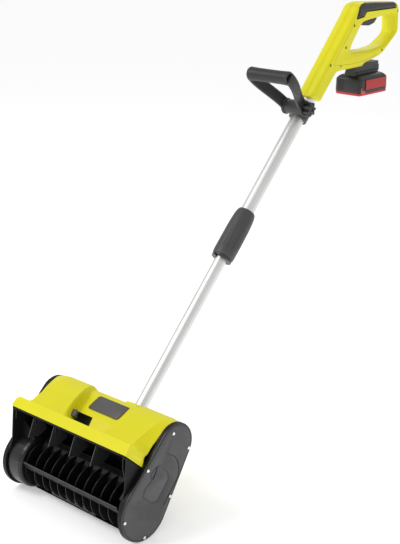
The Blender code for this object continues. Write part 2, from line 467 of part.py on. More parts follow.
reach = Vector((0, hub[1] - GRIP[1], hub[2] - GRIP[2])).normalized()
across = Vector((0, -reach.z, reach.y))
arms = []
for side in (-1, 1):
    secs = []
    for p in arm_line(side):
        half, thick = 14.5, 3.2
        secs.append([tuple(p + across * half + Vector((thick, 0, 0))), tuple(p + across * half - Vector((thick, 0, 0))),
                     tuple(p - across * half - Vector((thick, 0, 0))), tuple(p - across * half + Vector((thick, 0, 0)))])
    arms.append(loops("join_arm_%d" % side, secs, GREY, cutter=True))
    arms.append(rod("join_disc_%d" % side, hub, (1, 0, 0), 19.0, *sorted((side * 23.2, side * 30.0)), GREY, seg=24, cutter=True))
loop = turned("loop_grip_frame", [(7.0, -57.5), (15.0, -57.5), (15.8, -54.0), (15.0, 0.0), (15.8, 54.0), (15.0, 57.5), (7.0, 57.5)],
              GRIP, (1, 0, 0), GREY, seg=24, origin=hub)
fuse(loop, *arms)
cut(loop, rod("cut_loop_bolt", hub, (1, 0, 0), 3.6, -40, 40, GREY, seg=14, cutter=True),
    rod("cut_grip_bore", GRIP, (1, 0, 0), 10.5, 30, 80, GREY, seg=20, cutter=True))
turned("clamp_bolt", [(0, -36.4), (6.0, -36.4), (6.0, -31.0), (3.1, -31.0), (3.1, 37.0), (0, 37.0)], hub, (1, 0, 0), ZINC, seg=14)
star = []
for k in range(28):
    a = 2 * math.pi * k / 28
    r = 14.5 + 3.2 * math.cos(7 * a)
    star.append((hub[1] + r * math.cos(a), hub[2] + r * math.sin(a)))
knob_obj = prism_x("clamp_knob", star, 32.0, 49.0, GREY, origin=hub, smooth=True)
cut(knob_obj, rod("cut_knob_bore", hub, (1, 0, 0), 3.4, 20, 40, GREY, seg=14, cutter=True))

# ---- rear handle: two shells round a hand hole ------------------------------------------------
def flat(p):
    return (p[1], p[2])
BODY = [flat(pole(790, 20)), flat(pole(1030, 25)), (826, 980), (838, 987), (856, 990), (990, 982), (1002, 976), (1007, 966),
        (1008, 910), (1000, 900), (948, 862), (928, 854), (868, 842), (859, 835), (754, 834), flat(pole(806, -21))]
HOLE = [(806, 881), (813, 894), (829, 914), (848, 937), (858, 943), (880, 946), (983, 954.5), (991, 949), (993, 912), (985, 901), (940, 879), (895, 873.5), (812, 875)]
CAP = [(822, 951), (834, 979), (842, 984.5), (860, 988.5), (984, 981.5), (992, 976), (992, 966.5), (866, 966.5), (856, 955)]
HANDLE_HALF = 23.0
def grown(outline, d):
    """The closed outline moved outwards by d (inwards if d is negative)."""
    n = len(outline)
    area = sum(outline[i][0] * outline[(i + 1) % n][1] - outline[(i + 1) % n][0] * outline[i][1] for i in range(n))
    sign = 1 if area > 0 else -1
    out = []
    for i, p in enumerate(outline):
        a, b = outline[i - 1], outline[(i + 1) % n]
        d1 = Vector((p[0] - a[0], p[1] - a[1])).normalized()
        d2 = Vector((b[0] - p[0], b[1] - p[1])).normalized()
        n1, n2 = Vector((d1.y, -d1.x)) * sign, Vector((d2.y, -d2.x)) * sign
        m = (n1 + n2).normalized()
        k = d / max(0.45, m.dot(n1))
        out.append((p[0] + m.x * k, p[1] + m.y * k))
    return out
HSCREWS = [(726.0, 853.0), (785.0, 889.0), (766.0, 847.0), (936.0, 868.5), (816.0, 938.0), (998.5, 959.5)]
for name, side in (("handle_shell_right", 1), ("handle_shell_left", -1)):
    lo, mid, hi = 0.2 * side, (HANDLE_HALF - 6) * side, HANDLE_HALF * side
    a, b, c = [[(x, y, z) for y, z in line] for x, line in
               ((lo, BODY), (mid, BODY), (hi, grown(BODY, -6.0)))]
    shell = loops(name, [a, b, c], YELLOW, smooth=False)
    x0, x1 = sorted((side * -5.0, side * 60.0))
    xi = sorted((side * -5.0, side * (HANDLE_HALF - 3.2)))
    cut(shell,
        prism_x("cut_inside_%s" % name, grown(BODY, -9.0), xi[0], xi[1], YELLOW, cutter=True))
    # the wall round the hand hole
    wall = prism_x("join_hole_wall_%s" % name, grown(HOLE, 3.0), *sorted((lo, side * (HANDLE_HALF - 1.0))), YELLOW, cutter=True)
    fuse(shell, wall)
    cut(shell, prism_x("cut_hole_%s" % name, HOLE, x0, x1, YELLOW, cutter=True))
    cut(shell, prism_x("cut_cap_%s" % name, grown(CAP, 0.35), x0, x1, YELLOW, cutter=True))
    cut(shell, rod("cut_tube_%s" % name, pole(0), AX, TUBE_HIGH_R + GAP, 760, 880, YELLOW, seg=24, cutter=True))
    cut(shell, block("cut_pocket_%s" % name, (-23.4, 23.4) if False else tuple(sorted((side * -5.0, side * 19.0))), (775, 960), (820, 847.5), YELLOW, cutter=True))
    cut(shell, block("cut_trigger_%s" % name, tuple(sorted((side * -5.0, side * 8.4))), (862, 936), (926, 957), YELLOW, cutter=True))
    fuse(shell, *[rod("join_hboss_%s_%d" % (name, i), (0, y, z), (1, 0, 0), 5.4, *sorted((lo, side * 20.4)), YELLOW, seg=12, cutter=True)
                  for i, (y, z) in enumerate(HSCREWS)])
    cut(shell, *[rod("cut_hbore_%s_%d" % (name, i), (0, y, z), (1, 0, 0), 1.8, *sorted((lo - side * 2, side * 16.0)), YELLOW, seg=10, cutter=True)
                 for i, (y, z) in enumerate(HSCREWS)])
    if side > 0:
        cut(shell, *[rod("cut_hscrew_%d" % i, (0, y, z), (1, 0, 0), 4.0, 15.5, 40, YELLOW, seg=12, cutter=True)
                     for i, (y, z) in enumerate(HSCREWS)])
cap = prism_x("grip_overmould", CAP, -21.5, 21.5, GREY)
bevel(cap, 4.0, 2, 50)
cut(cap, rod("cut_button_bore", (9.5, 838.0, 965.0), (1, 0, 0), 6.2, 0, 30, GREY, seg=16, cutter=True))
rod("lock_off_button", (15.0, 838.0, 965.0), (1, 0, 0), 5.7, 0, 8.5, BLACK, seg=16)

for i, (y, z) in enumerate(HSCREWS):
    turned("handle_screw_%d" % (i + 1), [(0, -13.0), (1.4, -13.0), (1.4, 15.8), (3.4, 15.8), (3.4, 18.2), (2.6, 18.8), (0, 18.8)],
           (0, y, z), (1, 0, 0), ZINC, seg=12)
TRIGGER = (868.0, 949.5)
prism_x("trigger", [(864.5, 946.5), (871, 941.5), (877, 932.0), (900, 930.0), (920, 934.5), (931, 944.0), (931, 949.5), (868, 953.5), (864.5, 952.0)],
        -7.0, 7.0, BLACK, origin=(0, *TRIGGER))
block("switch_module", (-7.5, 7.5), (882.0, 932.0), (957.2, 965.8), BLACK)
block("battery_dock", (-18.5, 18.5), (782.0, 856.0), (848.0, 856.0), BLACK)

# ---- battery: slides out towards +Y ------------------------------------------------------------
BAT_Y0, BAT_Y1 = 828.0, 945.0
case = loops("battery_case", [[(x, y, z) for x, y in
                               [(-38 + i + e, BAT_Y0 + i), (-38 + i, BAT_Y0 + i + e), (-38 + i, BAT_Y1 - i - e), (-38 + i + e, BAT_Y1 - i),
                                (38 - i - e, BAT_Y1 - i), (38 - i, BAT_Y1 - i - e), (38 - i, BAT_Y0 + i + e), (38 - i - e, BAT_Y0 + i)]]
                              for z, i, e in ((774.0, 0.5, 7), (780.0, 0.0, 7), (806.0, 0.0, 7), (813.5, 4.0, 7), (816.0, 9.0, 7))],
             CASE, origin=(0, 886, 790))
fuse(case, block("join_neck", (-16.5, 16.5), (836.0, 934.0), (812.0, 843.0), CASE, cutter=True))
cut(case, block("cut_neck_left", (-30.0, -13.5), (820.0, 940.0), (822.0, 836.0), CASE, cutter=True),
    block("cut_neck_right", (13.5, 30.0), (820.0, 940.0), (822.0, 836.0), CASE, cutter=True))
loops("battery_base", [[(x, y, z) for x, y in
                        [(-38 + i + 7, BAT_Y0 + i), (-38 + i, BAT_Y0 + i + 7), (-38 + i, BAT_Y1 - i - 7), (-38 + i + 7, BAT_Y1 - i),
                         (38 - i - 7, BAT_Y1 - i), (38 - i, BAT_Y1 - i - 7), (38 - i, BAT_Y0 + i + 7), (38 - i - 7, BAT_Y0 + i)]]
                       for z, i in ((767.0, 2.5), (769.0, 0.2), (773.7, 0.2))], RED, origin=(0, 886, 770))
block("battery_label", (38.3, 39.2), (851.0, 936.0), (781.5, 805.0), LABEL)
block("battery_release", (-9.0, 9.0), (937.5, 947.0), (817.0, 833.0), GREY, origin=(0, 940, 825))
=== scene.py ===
import math
import bpy
import bmesh
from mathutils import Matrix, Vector
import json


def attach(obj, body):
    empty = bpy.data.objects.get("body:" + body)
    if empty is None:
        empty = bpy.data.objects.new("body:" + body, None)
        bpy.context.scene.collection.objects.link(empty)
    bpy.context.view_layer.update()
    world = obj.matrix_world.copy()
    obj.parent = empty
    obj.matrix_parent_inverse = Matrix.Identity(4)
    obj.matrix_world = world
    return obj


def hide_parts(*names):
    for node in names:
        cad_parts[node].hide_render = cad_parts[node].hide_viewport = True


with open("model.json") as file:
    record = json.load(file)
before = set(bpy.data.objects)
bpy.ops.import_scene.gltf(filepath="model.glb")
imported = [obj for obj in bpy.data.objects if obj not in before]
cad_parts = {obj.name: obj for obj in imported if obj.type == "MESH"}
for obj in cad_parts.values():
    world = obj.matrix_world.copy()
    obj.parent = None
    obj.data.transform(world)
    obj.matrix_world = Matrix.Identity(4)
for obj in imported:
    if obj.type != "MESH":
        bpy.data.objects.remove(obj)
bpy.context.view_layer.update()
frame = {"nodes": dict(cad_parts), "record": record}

NODES = frame["nodes"]
scene = bpy.context.scene

# ---------------------------------------------------------------- materials
def base(name):
    m = bpy.data.materials.new(name)
    m.use_nodes = True
    nt = m.node_tree
    return m, nt, nt.nodes["Principled BSDF"]

def coords(nt, scale):
    tc = nt.nodes.new("ShaderNodeTexCoord")
    mp = nt.nodes.new("ShaderNodeMapping")
    mp.inputs["Scale"].default_value = scale if isinstance(scale, tuple) else (scale,) * 3
    nt.links.new(tc.outputs["Object"], mp.inputs["Vector"])
    return mp.outputs["Vector"]

def noise(nt, vector, scale, detail=3.0, rough=0.55):
    n = nt.nodes.new("ShaderNodeTexNoise")
    n.inputs["Scale"].default_value = scale
    n.inputs["Detail"].default_value = detail
    n.inputs["Roughness"].default_value = rough
    nt.links.new(vector, n.inputs["Vector"])
    return n.outputs["Fac"]

def ramp(nt, fac, lo, hi, a, b):
    r = nt.nodes.new("ShaderNodeMapRange")
    r.inputs["From Min"].default_value = lo
    r.inputs["From Max"].default_value = hi
    r.inputs["To Min"].default_value = a
    r.inputs["To Max"].default_value = b
    nt.links.new(fac, r.inputs["Value"])
    return r.outputs["Result"]

def mixed(nt, fac, a, b):
    m = nt.nodes.new("ShaderNodeMix")
    m.data_type = "RGBA"
    m.inputs["A"].default_value = (*a, 1)
    m.inputs["B"].default_value = (*b, 1)
    nt.links.new(fac, m.inputs["Factor"])
    return m.outputs["Result"]

def bump(nt, height, strength, distance=0.0006, normal=None):
    b = nt.nodes.new("ShaderNodeBump")
    b.inputs["Strength"].default_value = strength
    b.inputs["Distance"].default_value = distance
    nt.links.new(height, b.inputs["Height"])
    if normal is not None:
        nt.links.new(normal, b.inputs["Normal"])
    return b.outputs["Normal"]

# Pointiness mask for the painted edge highlight: it picks out sharp edges for a lighter colour.
def edge_highlight_mask(nt, lo=0.5, hi=0.62):
    g = nt.nodes.new("ShaderNodeNewGeometry")
    return ramp(nt, g.outputs["Pointiness"], lo, hi, 0.0, 1.0)

def plastic(name, colour, shade, rough, grain=0.12, grain_scale=1400.0, spec=0.5, coat=0.0, highlight_colour=None):
    """Moulded plastic: fine grain, slight colour drift, rubbed roughness and painted highlights on the sharp edges, a
    lighter colour standing in for thin edge highlights.
    """
    m, nt, b = base(name)
    v = coords(nt, 1.0)
    drift = ramp(nt, noise(nt, v, 9.0, 4.0), 0.3, 0.7, 0.0, 1.0)
    col = mixed(nt, drift, colour, shade)
    # painted highlight: a lighter colour mixed in on sharp edges stands in for the thin highlight lines along them.
    if highlight_colour is not None:
        mm = nt.nodes.new("ShaderNodeMix")
        mm.data_type = "RGBA"
        nt.links.new(col, mm.inputs["A"])
        mm.inputs["B"].default_value = (*highlight_colour, 1)
        nt.links.new(edge_highlight_mask(nt), mm.inputs["Factor"])
        col = mm.outputs["Result"]
    nt.links.new(col, b.inputs["Base Color"])
    rub = ramp(nt, noise(nt, v, 38.0, 5.0, 0.65), 0.3, 0.75, rough - 0.07, rough + 0.09)
    nt.links.new(rub, b.inputs["Roughness"])
    fine = noise(nt, v, grain_scale, 2.0)
    wave = noise(nt, v, 24.0, 2.0)
    n1 = bump(nt, wave, 0.05, 0.002)
    nt.links.new(bump(nt, fine, grain, 0.0003, n1), b.inputs["Normal"])
    b.inputs["Specular IOR Level"].default_value = spec
    b.inputs["Coat Weight"].default_value = coat
    b.inputs["Coat Roughness"].default_value = 0.12
    return m

def metal(name, colour, shade, rough, stretch=(1, 1, 1), aniso=0.0, strength=0.08, scale=260.0):
    m, nt, b = base(name)
    v = coords(nt, stretch)
    n = noise(nt, v, scale, 4.0)
    nt.links.new(mixed(nt, ramp(nt, noise(nt, v, 7.0), 0.3, 0.7, 0, 1), colour, shade), b.inputs["Base Color"])
    nt.links.new(ramp(nt, n, 0.3, 0.7, rough - 0.06, rough + 0.08), b.inputs["Roughness"])
    nt.links.new(bump(nt, n, strength, 0.0003), b.inputs["Normal"])
    b.inputs["Metallic"].default_value = 1.0
    b.inputs["Anisotropic"].default_value = aniso
    return m

# The last colour given to a plastic is its painted edge highlight, a lighter colour on the sharp edges.
MAT = {
    "yellow_shell": plastic("yellow_shell_look", (0.80, 0.74, 0.006), (0.74, 0.69, 0.004), 0.40, 0.05, 1500, 0.34, 0.0, (0.86, 0.82, 0.03)),
    "black_plastic": plastic("black_plastic_look", (0.011, 0.011, 0.012), (0.016, 0.016, 0.017), 0.36, 0.10, 1300, 0.5, 0.0, (0.05, 0.05, 0.052)),
    "dark_grey_plastic": plastic("dark_grey_plastic_look", (0.062, 0.059, 0.062), (0.054, 0.051, 0.055), 0.48, 0.14, 1500, 0.45, 0.0, (0.13, 0.125, 0.13)),
    "grip_black": plastic("grip_black_look", (0.018, 0.018, 0.019), (0.024, 0.024, 0.026), 0.40, 0.16, 1500, 0.5, 0.0, (0.05, 0.05, 0.05)),
    "loop_black": plastic("loop_black_look", (0.018, 0.0175, 0.018), (0.014, 0.0135, 0.014), 0.46, 0.16, 1500, 0.45, 0.0, (0.07, 0.07, 0.07)),
    "sleeve_grey": plastic("sleeve_grey_look", (0.060, 0.058, 0.060), (0.050, 0.048, 0.050), 0.46, 0.14, 1500, 0.45, 0.0, (0.10, 0.10, 0.10)),
    # painted shade: a darker, less shiny copy of the black plastic for the parts inside the mouth, standing in for the
    # shade there.
    "painted_shade_black": plastic("painted_shade_black_look", (0.006, 0.006, 0.0064), (0.009, 0.009, 0.0095), 0.46, 0.10, 1300, 0.22),
    "drum_black": plastic("drum_black_look", (0.010, 0.010, 0.011), (0.014, 0.014, 0.015), 0.30, 0.08, 1300, 0.45),
    # painted highlight: a light grey for thin beads laid along the dark vane and blade edges, standing in for the
    # highlight lines there.
    "painted_highlight_grey": plastic("painted_highlight_grey_look", (0.12, 0.12, 0.12), (0.10, 0.10, 0.10), 0.45, 0.10, 1300, 0.4),
    "rubber": plastic("rubber_look", (0.022, 0.022, 0.022), (0.03, 0.03, 0.03), 0.68, 0.25, 900, 0.3),
    "battery_black": plastic("battery_black_look", (0.014, 0.014, 0.015), (0.02, 0.02, 0.022), 0.38, 0.12, 1500, 0.5),
    "battery_red": plastic("battery_red_look", (0.50, 0.012, 0.016), (0.42, 0.010, 0.014), 0.34, 0.05, 1500, 0.5, 0.1, (0.62, 0.05, 0.05)),
    "label_grey": plastic("label_look", (0.50, 0.030, 0.034), (0.44, 0.024, 0.028), 0.35, 0.02, 1500, 0.35),
    "tube_aluminium": metal("tube_look", (0.78, 0.78, 0.77), (0.72, 0.72, 0.71), 0.42, (1, 1, 1), 0.2, 0.05, 420),
    "steel": metal("steel_look", (0.70, 0.70, 0.71), (0.60, 0.60, 0.62), 0.30, (0.15, 1, 1), 0.3, 0.12, 500),
    "screw_steel": metal("screw_look", (0.90, 0.90, 0.90), (0.84, 0.84, 0.85), 0.20, (1, 1, 1), 0.0, 0.05, 700),
    "motor_can": metal("motor_can_look", (0.32, 0.32, 0.34), (0.26, 0.26, 0.28), 0.38, (0.2, 1, 1), 0.2, 0.1, 300),
}
SLOT = {p["node"]: p["material_slot"] for p in frame["record"]["subparts"]}

def dress(obj, mat):
    obj.data.materials.clear()
    obj.data.materials.append(mat)

def soften(obj, width, segments=2, angle=35):
    w = obj.modifiers.new("weld", "WELD")
    w.merge_threshold = 0.00001
    b = obj.modifiers.new("bevel", "BEVEL")
    b.width = width
    b.segments = segments
    b.limit_method = "ANGLE"
    b.angle_limit = math.radians(angle)
    b.harden_normals = False
    n = obj.modifiers.new("normals", "WEIGHTED_NORMAL")
    n.keep_sharp = False

for name, obj in NODES.items():
    dress(obj, MAT[SLOT[name]])
# Parts inside the mouth get the painted-shade black in place of their own black plastic.
PAINTED_SHADE_PARTS = ["scoop_housing", "rotor_body", "right_end_housing", "left_end_housing", "left_side_plate", "vane_link_bar", "tube_socket_block"]
PAINTED_SHADE_PARTS += ["vane_%d" % k for k in (1, 2, 3, 4)]
for name in PAINTED_SHADE_PARTS:
    dress(NODES[name], MAT["painted_shade_black"])
dress(NODES["left_drum_housing"], MAT["drum_black"])
for name in ("grip_clamp", "sleeve_end_ring", "trigger", "lock_off_button", "battery_release"):
    dress(NODES[name], MAT["grip_black"])
for name, width in (("pole_socket", 0.0012), ("grip_clamp", 0.0010), ("trigger", 0.0012), ("deflector_lever", 0.0006), ("scraper_blade", 0.0002),
                    ("sleeve_end_ring", 0.0008), ("battery_label", 0.0003), ("battery_release", 0.0010), ("lock_off_button", 0.0008)):
    soften(NODES[name], width)

# ---------------------------------------------------------------- shaping helpers (mm, y counted from the pole frame)
MM = 0.001
YS = 55.0
C, S = math.cos(math.radians(46.58)), math.sin(math.radians(46.58))
ROTOR = (-70.0, 65.0)
DRIVE = (22.0, 178.0)

def P(p):
    return Vector((p[0] * MM, (p[1] + YS) * MM, p[2] * MM))

def pole(t, up=0.0, x=0.0):
    return (x, 125.0 + t * C - up * S, 199.0 + t * S + up * C)

def build(name, verts, faces, mat, smooth_angle=40, body=None, replaces=(), slot=None, cutter=False):
    mesh = bpy.data.meshes.new(name)
    mesh.from_pydata([P(v) for v in verts], [], faces)
    bm = bmesh.new()
    bm.from_mesh(mesh)
    bmesh.ops.recalc_face_normals(bm, faces=bm.faces)
    if bm.calc_volume(signed=True) < 0:
        bmesh.ops.reverse_faces(bm, faces=bm.faces)
    bm.to_mesh(mesh)
    bm.free()
    mesh.shade_smooth()
    mesh.set_sharp_from_angle(angle=math.radians(smooth_angle))
    mesh.materials.append(mat)
    obj = bpy.data.objects.new(name, mesh)
    scene.collection.objects.link(obj)
    if cutter:
        obj.hide_render = True
        obj.hide_viewport = False
        return obj
    if body:
        finish_piece(obj, body, replaces)
    return obj

def finish_piece(obj, body, replaces=()):
    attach(obj, body)
    if replaces:
        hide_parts(*replaces)
    return obj

def baked(obj, angle=40):
    """Applies the modifiers, so that the cutters can go."""
    graph = bpy.context.evaluated_depsgraph_get()
    graph.update()
    mesh = bpy.data.meshes.new_from_object(obj.evaluated_get(graph))
    obj.modifiers.clear()
    obj.data = mesh
    mesh.shade_smooth()
    mesh.set_sharp_from_angle(angle=math.radians(angle))
    return obj

def carve(obj, cutters, operation="DIFFERENCE", angle=40):
    for c in cutters:
        m = obj.modifiers.new("cut", "BOOLEAN")
        m.operation = operation
        m.solver = "EXACT"
        m.object = c
    bpy.context.view_layer.update()
    baked(obj, angle)
    for c in cutters:
        bpy.data.objects.remove(c, do_unlink=True)
    return obj

def loops(name, sections, mat, ring=False, **kw):
    n = len(sections[0])
    verts = [p for s in sections for p in s]
    faces = []
    count = len(sections)
    for i in range(count if ring else count - 1):
        a, b = i * n, ((i + 1) % count) * n
        for j in range(n):
            k = (j + 1) % n
            faces.append((a + j, a + k, b + k, b + j))
    if not ring:
        faces.append(tuple(range(n - 1, -1, -1)))
        faces.append(tuple((count - 1) * n + j for j in range(n)))
    return build(name, verts, faces, mat, **kw)

def prism_x(name, outline, x0, x1, mat, **kw):
    return loops(name, [[(x, y, z) for y, z in outline] for x in (x0, x1)], mat, **kw)

def turned(name, profile, base_point, axis, mat, seg=48, **kw):
    w = Vector(axis).normalized()
    u = Vector((1, 0, 0)) if abs(w.x) < 0.9 else Vector((0, 1, 0))
    u = (u - w * u.dot(w)).normalized()
    v = w.cross(u)
    o = Vector(base_point)
    solid = profile[0][0] == 0 and profile[-1][0] == 0
    inner = profile[1:-1] if solid else profile
    verts, faces = [], []
    for r, h in inner:
        for k in range(seg):
            a = 2 * math.pi * k / seg
            verts.append(tuple(o + w * h + u * (r * math.cos(a)) + v * (r * math.sin(a))))
    m = len(inner)
    for i in range(m - 1 if solid else m):
        a, b = i * seg, ((i + 1) % m) * seg
        for k in range(seg):
            q = (k + 1) % seg
            faces.append((a + k, a + q, b + q, b + k))
    if solid:
        faces.append(tuple(range(seg - 1, -1, -1)))
        faces.append(tuple((m - 1) * seg + k for k in range(seg)))
    return build(name, verts, faces, mat, **kw)

def rounded(points, closed=True, amount=0.25, times=2):
    """Corner cutting."""
    pts = [tuple(p) for p in points]
    for _ in range(times):
        out = []
        n = len(pts)
        for i in range(n if closed else n - 1):
            a, b = pts[i], pts[(i + 1) % n]
            if not closed and i == 0:
                out.append(a)
            else:
                out.append(tuple(a[k] + (b[k] - a[k]) * amount for k in range(len(a))))
            if not closed and i == n - 2:
                out.append(b)
            else:
                out.append(tuple(b[k] + (a[k] - b[k]) * amount for k in range(len(a))))
        pts = out
    return pts

def fillet(points, radius, steps=4):
    """A closed outline with each corner rounded to a radius (a number, or one for each corner)."""
    n = len(points)
    out = []
    for i in range(n):
        r = radius[i] if isinstance(radius, (list, tuple)) else radius
        p = Vector(points[i])
        a, b = Vector(points[i - 1]) - p, Vector(points[(i + 1) % n]) - p
        la, lb = a.length, b.length
        a.normalize()
        b.normalize()
        ang = math.acos(max(-1, min(1, a.dot(b))))
        if ang > math.pi - 0.03 or r <= 0:
            out.append(tuple(p))
            continue
        d = min(r / math.tan(ang / 2), la * 0.48, lb * 0.48)
        q0, q2 = p + a * d, p + b * d
        for k in range(steps + 1):
            f = k / steps
            out.append(tuple(q0 * (1 - f) ** 2 + p * (2 * f * (1 - f)) + q2 * f ** 2))
    return out

def grown(outline, d):
    n = len(outline)
    total = sum(outline[i][0] * outline[(i + 1) % n][1] - outline[(i + 1) % n][0] * outline[i][1] for i in range(n))
    sign = 1 if total > 0 else -1
    out = []
    for i, p in enumerate(outline):
        a, b = outline[i - 1], outline[(i + 1) % n]
        d1 = Vector((p[0] - a[0], p[1] - a[1])).normalized()
        d2 = Vector((b[0] - p[0], b[1] - p[1])).normalized()
        n1, n2 = Vector((d1.y, -d1.x)) * sign, Vector((d2.y, -d2.x)) * sign
        m = (n1 + n2)
        if m.length < 1e-6:
            m = n1
        m.normalize()
        k = d / max(0.5, m.dot(n1))
        out.append((p[0] + m.x * k, p[1] + m.y * k))
    return out

def capsule(r_low, r_top, seg=40):
    dy, dz = DRIVE[0] - ROTOR[0], DRIVE[1] - ROTOR[1]
    d = math.hypot(dy, dz)
    a = math.atan2(dz, dy)
    b = math.acos((r_low - r_top) / d)
    out = []
    for k in range(seg + 1):
        t = a - b + 2 * b * k / seg
        out.append((DRIVE[0] + r_top * math.cos(t), DRIVE[1] + r_top * math.sin(t)))
    low = seg + 16
    for k in range(low + 1):
        t = a + b + (2 * math.pi - 2 * b) * k / low
        out.append((ROTOR[0] + r_low * math.cos(t), ROTOR[1] + r_low * math.sin(t)))
    # points along the straight sides
    dense = []
    n = len(out)
    for i in range(n):
        p, q = Vector(out[i]), Vector(out[(i + 1) % n])
        steps = max(1, int((q - p).length / 12))
        for k in range(steps):
            dense.append(tuple(p + (q - p) * (k / steps)))
    return dense

def smooth(f):
    f = max(0.0, min(1.0, f))
    return f * f * (3 - 2 * f)

def curve_line(points, sharp, per=6):
    """Catmull-Rom through the points, straight at the ones in sharp, evenly many points for each span."""
    out = []
    n = len(points)
    for i in range(n - 1):
        p0 = Vector(points[i - 1]) if i > 0 and i not in sharp else Vector(points[i])
        p1, p2 = Vector(points[i]), Vector(points[i + 1])
        p3 = Vector(points[i + 2]) if i + 2 < n and (i + 1) not in sharp else Vector(points[i + 1])
        for k in range(per):
            t = k / per
            out.append(tuple(0.5 * (2 * p1 + (p2 - p0) * t + (2 * p0 - 5 * p1 + 4 * p2 - p3) * t * t + (3 * p1 - p0 - 3 * p2 + p3) * t ** 3)))
    out.append(tuple(points[-1]))
    return out

def offset(points, d):
    out = []
    for i, p in enumerate(points):
        a = points[max(i - 1, 0)]
        b = points[min(i + 1, len(points) - 1)]
        d1 = Vector((p[0] - a[0], p[1] - a[1]))
        d2 = Vector((b[0] - p[0], b[1] - p[1]))
        if d1.length < 1e-6:
            d1 = d2
        if d2.length < 1e-6:
            d2 = d1
        d1.normalize()
        d2.normalize()
        n1, n2 = Vector((d1.y, -d1.x)), Vector((d2.y, -d2.x))
        m = (n1 + n2).normalized()
        out.append((p[0] + m.x * d / max(0.6, m.dot(n1)), p[1] + m.y * d / max(0.6, m.dot(n1))))
    return out

# ---------------------------------------------------------------- hood
HUMP = [(-107, 198), (-92, 217), (-84, 204), (-70, 205), (-55, 211), (-39, 216), (-23, 221),
        (-8, 225), (8, 227.5), (24, 228), (40, 224.5), (54, 214), (63.5, 199), (67, 180), (60, 152), (45, 122)]
END = [(-67, 160), (-58, 183), (-55, 180), (-50, 184), (-44, 190), (-37, 196), (-23, 205),
       (-9, 213.5), (6, 220.5), (22, 225), (38, 222.5), (52, 213.5), (62, 199), (66.5, 180), (60, 152), (45, 122)]
RECESS = [(-107, 198), (-92, 217), (-84, 204), (-72, 200), (-60, 194), (-48, 184), (-37.5, 178),
          (-22, 193), (-10, 199), (10, 207), (29, 215), (46, 213), (60, 199), (66, 180), (60, 152), (45, 122)]

def hood():
    per = 7
    hump = curve_line(HUMP, {0, 1, 2}, per)
    end = curve_line(END, {0, 1, 2, 3}, per)
    recess = curve_line(RECESS, {0, 1, 2, 6, 7}, per)
    xs = []
    def span(a, b, n):
        for k in range(n):
            xs.append(a + (b - a) * k / n)
    span(-175.3, -171.5, 3)
    span(-171.5, -155, 5)
    span(-155, -96, 10)
    span(-96, -36, 30)
    span(-36, 50, 14)
    span(50, 98, 22)
    span(98, 155, 10)
    span(155, 171.2, 5)
    span(171.2, 174.9, 3)
    xs.append(174.9)
    rings = []
    for x in xs:
        ax = abs(x)
        line = []
        for h, r, e in zip(hump, recess, end):
            y = h[0]
            left = -78.0 + (38.0 - y) * 0.27 if y > -80 else -46.0
            w = smooth((x - left + 6.0) / 13.0) * smooth((80.0 - x) / 22.0)
            p = (h[0] + (r[0] - h[0]) * w, h[1] + (r[1] - h[1]) * w)
            line.append([p[0], p[1], e])
        turn = 171.4
        out = []
        for i, (py, pz, e) in enumerate(line):
            lip = i <= 2 * per
            if lip and x < 0:
                f = 0.0
                if ax > 164.0 and i > 0:
                    g = min(1.0, (ax - 164.0) / 11.3)
                    pz -= 6.5 * g * g * min(1.0, i / per) * max(0.0, (pz - 204.0) / 13.0)
            elif lip:
                f = smooth((ax - turn) / (175.0 - turn)) if ax > turn else 0.0
            else:
                f = max(0.0, min(1.0, (ax - 155.0) / 20.0))
                if i < 4 * per:
                    g = (i - 2 * per) / (2.0 * per)
                    lipf = smooth((ax - turn) / (175.0 - turn)) if ax > turn and x > 0 else 0.0
                    f = lipf * (1 - g) + f * g
            out.append((py + (e[0] - py) * f, pz + (e[1] - pz) * f))
        inner = offset(out, 2.6)
        shift = [(-3.2 * smooth((ax - 168.0) / 7.0) * max(0.0, 1.0 - i / (2.6 * per)) if x < 0 else 0.0) for i in range(len(out))]
        rings.append([(x + d, y, z) for (y, z), d in zip(out, shift)] + [(x + d, y, z) for (y, z), d in zip(reversed(inner), reversed(shift))])
    obj = loops("hood_shell", rings, MAT["yellow_shell"], smooth_angle=32)
    outline = fillet([(-70, -2), (-11, -2), (-14, 19), (-66, 19)], 3.0, 3)
    # along the slot's slope
    def on_slope(px, s, n):
        ds = (0.624, 0.781)
        return (px, -35.0 + ds[0] * s - ds[1] * n, 177.2 + ds[1] * s + ds[0] * n)
    cutter = loops("slot_cut", [[on_slope(px, s, n) for px, s in outline] for n in (-8.0, 9.0)], MAT["black_plastic"], cutter=True)
    bore = turned("pole_cut", [(0, -60), (21.0, -60), (21.0, 80), (0, 80)], pole(-60), (0, C, S), MAT["black_plastic"], cutter=True)
    # seat of the inset plate
    seat = fillet([(-46.3, -9.5), (46.3, -9.5), (46.3, 28.5), (-46.3, 28.5)], [7, 7, 2, 7], 5)
    def on_floor(px, y, n):
        return (px, y - 0.383 * n, 200.0 + (y + 9.0) * 0.4135 + 0.924 * n)
    plate_cut = loops("plate_cut", [[on_floor(px, y, n) for px, y in seat] for n in (-1.0, 9.0)], MAT["black_plastic"], cutter=True)
    carve(obj, [cutter, bore, plate_cut], angle=32)
    b = obj.modifiers.new("bevel", "BEVEL")
    b.width = 0.0009
    b.segments = 3
    b.limit_method = "ANGLE"
    b.angle_limit = math.radians(32)
    b.harden_normals = False
    finish_piece(obj, "head", ("hood_cover",))
    # inset plate
    inset = fillet([(-45.5, -8.8), (45.5, -8.8), (45.5, 27.8), (-45.5, 27.8)], [6.5, 6.5, 1.5, 6.5], 6)
    secs = [[on_floor(px, y, n) for px, y in line] for n, line in
            ((-0.6, inset), (0.9, inset), (1.3, grown(inset, -0.5)))]
    plate = loops("inset_plate", secs, MAT["dark_grey_plastic"], smooth_angle=50)
    finish_piece(plate, "head", ("hood_insert_plate",))
hood()

